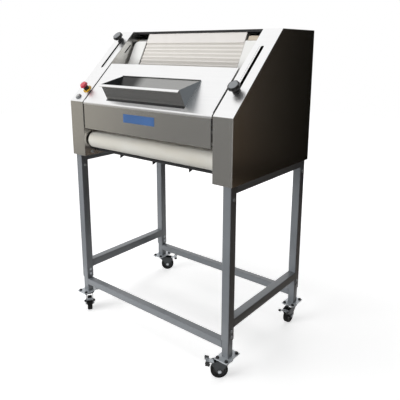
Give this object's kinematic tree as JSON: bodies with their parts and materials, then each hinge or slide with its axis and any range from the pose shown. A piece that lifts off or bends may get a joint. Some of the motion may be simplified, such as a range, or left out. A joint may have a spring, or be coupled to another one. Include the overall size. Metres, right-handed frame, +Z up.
{
  "type": "baguette moulder",
  "caption": "Floor-standing dough moulder: stainless housing with sloped front, feed and moulding belts, roller drive, tray and sliding controls, on a square-tube stand with braked casters.",
  "frame": {"origin": "on the floor, under the middle of the stand", "axes": "+Z up, the front faces -Y, +X to the right seen from the front"},
  "size_m": [0.986, 0.7502, 1.46],
  "materials": {
    "frame_paint": "satin grey-blue paint",
    "zinc": "zinc plated",
    "fork_black": "black paint",
    "wheel_rubber": "matt",
    "stainless": "brushed",
    "dark_steel": "dark",
    "bright_steel": "ground",
    "bronze": "plain",
    "blue_plate": "gloss",
    "black_plastic": "moulded",
    "belt_cloth": "felted cloth",
    "cream_plastic": "smooth",
    "white_plastic": "smooth",
    "roller_metal": "turned",
    "board_wood": "felt faced board",
    "motor_paint": "painted casting",
    "stop_red": "gloss",
    "bezel_yellow": "moulded",
    "button_grey": "gloss"
  },
  "bodies": {
    "root": {"left_side_frame": "frame_paint", "right_side_frame": "frame_paint", "front_base_frame": "frame_paint", "rear_base_frame": "frame_paint", "base_channel_left": "frame_paint", "base_channel_right": "frame_paint", "frame_bolts": "zinc", "caster_plates": "zinc", "side_plate_left": "stainless", "side_plate_right": "stainless", "cheek_cover_left": "stainless", "cheek_cover_right": "stainless", "front_panel": "stainless", "rear_panel": "stainless", "top_panel": "stainless", "dough_chute": "stainless", "under_tray": "dark_steel", "motor_shelf": "dark_steel", "drive_chains": "dark_steel", "tie_rods": "bright_steel", "slide_rails": "bright_steel", "bearings": "bronze", "blank_plate": "blue_plate", "cable_gland": "black_plastic", "feed_belt": "belt_cloth", "moulding_belt": "belt_cloth", "feed_guard": "cream_plastic", "side_guide_left": "white_plastic", "side_guide_right": "white_plastic", "gearmotor": "motor_paint", "button_bezels": "bezel_yellow"},
    "cover": {"slanted_cover": "stainless", "cover_tray": "stainless"},
    "discharge": {"discharge_roller": "roller_metal"},
    "tail": {"tail_roller": "roller_metal"},
    "sheeting_rear": {"sheeting_roller_rear": "white_plastic"},
    "carrier": {"roller_carrier": "bright_steel"},
    "sheeting_front": {"sheeting_roller_front": "white_plastic"},
    "feed_upper": {"feed_roller_upper": "roller_metal"},
    "feed_lower": {"feed_roller_lower": "roller_metal"},
    "motor_shaft": {"motor_sprocket": "dark_steel"},
    "board": {"pressure_board": "board_wood"},
    "gap_control": {"gap_slider": "dark_steel", "gap_knob": "black_plastic"},
    "pressure_control": {"pressure_slider": "dark_steel", "pressure_knob": "black_plastic"},
    "stop": {"stop_button": "stop_red"},
    "start": {"start_button": "button_grey"},
    "caster_fl": {"caster_fork_fl": "fork_black"},
    "wheel_fl": {"caster_wheel_fl": "wheel_rubber"},
    "pedal_fl": {"brake_pedal_fl": "zinc"},
    "caster_fr": {"caster_fork_fr": "fork_black"},
    "wheel_fr": {"caster_wheel_fr": "wheel_rubber"},
    "pedal_fr": {"brake_pedal_fr": "zinc"},
    "caster_rl": {"caster_fork_rl": "fork_black"},
    "wheel_rl": {"caster_wheel_rl": "wheel_rubber"},
    "pedal_rl": {"brake_pedal_rl": "zinc"},
    "caster_rr": {"caster_fork_rr": "fork_black"},
    "wheel_rr": {"caster_wheel_rr": "wheel_rubber"},
    "pedal_rr": {"brake_pedal_rr": "zinc"}
  },
  "joints": [
    {"name": "cover_hinge", "type": "hinge", "parent": "root", "child": "cover", "pos_m": [0, -0.13503, 1.28751], "axis": [-1, 0, 0], "range_deg": [0, 75]},
    {"name": "discharge_spin", "type": "hinge", "parent": "root", "child": "discharge", "pos_m": [0, -0.265, 0.934], "axis": [1, 0, 0], "continuous": true},
    {"name": "tail_spin", "type": "hinge", "parent": "root", "child": "tail", "pos_m": [0, 0.205, 0.934], "axis": [1, 0, 0], "continuous": true},
    {"name": "sheeting_rear_spin", "type": "hinge", "parent": "root", "child": "sheeting_rear", "pos_m": [0, -0.04717, 1.18127], "axis": [1, 0, 0], "continuous": true},
    {"name": "feed_lower_spin", "type": "hinge", "parent": "root", "child": "feed_lower", "pos_m": [0, -0.00819, 1.26238], "axis": [1, 0, 0], "continuous": true},
    {"name": "feed_upper_spin", "type": "hinge", "parent": "root", "child": "feed_upper", "pos_m": [0, 0.07217, 1.4135], "axis": [1, 0, 0], "continuous": true},
    {"name": "motor_spin", "type": "hinge", "parent": "root", "child": "motor_shaft", "pos_m": [0, 0.215, 1.18627], "axis": [1, 0, 0], "continuous": true},
    {"name": "carrier_swing", "type": "hinge", "parent": "root", "child": "carrier", "pos_m": [0, -0.21417, 1.11727], "axis": [1, 0, 0], "range_deg": [0, 7]},
    {"name": "sheeting_front_spin", "type": "hinge", "parent": "carrier", "child": "sheeting_front", "pos_m": [0, -0.13417, 1.18127], "axis": [1, 0, 0], "continuous": true},
    {"name": "board_swing", "type": "hinge", "parent": "root", "child": "board", "pos_m": [0, 0.015, 1.0053], "axis": [-1, 0, 0], "range_deg": [0, 4]},
    {"name": "gap_slide", "type": "slide", "parent": "root", "child": "gap_control", "axis": [0, 0.7224, 0.6915], "range_m": [0, 0.245]},
    {"name": "pressure_slide", "type": "slide", "parent": "root", "child": "pressure_control", "axis": [0, 0.7224, 0.6915], "range_m": [-0.185, 0]},
    {"name": "stop_press", "type": "slide", "parent": "root", "child": "stop", "axis": [0, 0.6915, -0.7224], "range_m": [0, 0.006]},
    {"name": "start_press", "type": "slide", "parent": "root", "child": "start", "axis": [0, 0.6915, -0.7224], "range_m": [0, 0.004], "stiffness_N_per_m": 300},
    {"name": "swivel_fl", "type": "hinge", "parent": "root", "child": "caster_fl", "pos_m": [-0.46, -0.29, 0], "axis": [0, 0, 1], "continuous": true},
    {"name": "roll_fl", "type": "hinge", "parent": "caster_fl", "child": "wheel_fl", "pos_m": [-0.43365, -0.30986, 0.0375], "axis": [0.6018, 0.7986, 0], "continuous": true},
    {"name": "pedal_swing_fl", "type": "hinge", "parent": "caster_fl", "child": "pedal_fl", "pos_m": [-0.41208, -0.32611, 0.072], "axis": [0.6018, 0.7986, 0], "range_deg": [0, 10]},
    {"name": "swivel_fr", "type": "hinge", "parent": "root", "child": "caster_fr", "pos_m": [0.46, -0.29, 0], "axis": [0, 0, 1], "continuous": true},
    {"name": "roll_fr", "type": "hinge", "parent": "caster_fr", "child": "wheel_fr", "pos_m": [0.43548, -0.31208, 0.0375], "axis": [0.6691, -0.7431, 0], "continuous": true},
    {"name": "pedal_swing_fr", "type": "hinge", "parent": "caster_fr", "child": "pedal_fr", "pos_m": [0.41541, -0.33015, 0.072], "axis": [0.6691, -0.7431, 0], "range_deg": [0, 10]},
    {"name": "swivel_rl", "type": "hinge", "parent": "root", "child": "caster_rl", "pos_m": [-0.46, 0.29, 0], "axis": [0, 0, 1], "continuous": true},
    {"name": "roll_rl", "type": "hinge", "parent": "caster_rl", "child": "wheel_rl", "pos_m": [-0.43548, 0.31208, 0.0375], "axis": [-0.6691, 0.7431, 0], "continuous": true},
    {"name": "pedal_swing_rl", "type": "hinge", "parent": "caster_rl", "child": "pedal_rl", "pos_m": [-0.41541, 0.33015, 0.072], "axis": [-0.6691, 0.7431, 0], "range_deg": [0, 10]},
    {"name": "swivel_rr", "type": "hinge", "parent": "root", "child": "caster_rr", "pos_m": [0.46, 0.29, 0], "axis": [0, 0, 1], "continuous": true},
    {"name": "roll_rr", "type": "hinge", "parent": "caster_rr", "child": "wheel_rr", "pos_m": [0.46, 0.257, 0.0375], "axis": [1, 0, 0], "continuous": true},
    {"name": "pedal_swing_rr", "type": "hinge", "parent": "caster_rr", "child": "pedal_rr", "pos_m": [0.46, 0.23, 0.072], "axis": [1, 0, 0], "range_deg": [0, 10]}
  ],
  "couplings": [
    {"joint": "tail_spin", "follows": "discharge_spin", "ratio": 1},
    {"joint": "sheeting_rear_spin", "follows": "discharge_spin", "ratio": 1},
    {"joint": "feed_lower_spin", "follows": "discharge_spin", "ratio": 1},
    {"joint": "feed_upper_spin", "follows": "discharge_spin", "ratio": 1},
    {"joint": "motor_spin", "follows": "discharge_spin", "ratio": 1},
    {"joint": "gap_slide", "follows": "carrier_swing", "m_per_rad": 2},
    {"joint": "pressure_slide", "follows": "board_swing", "m_per_rad": -2.64}
  ]
}
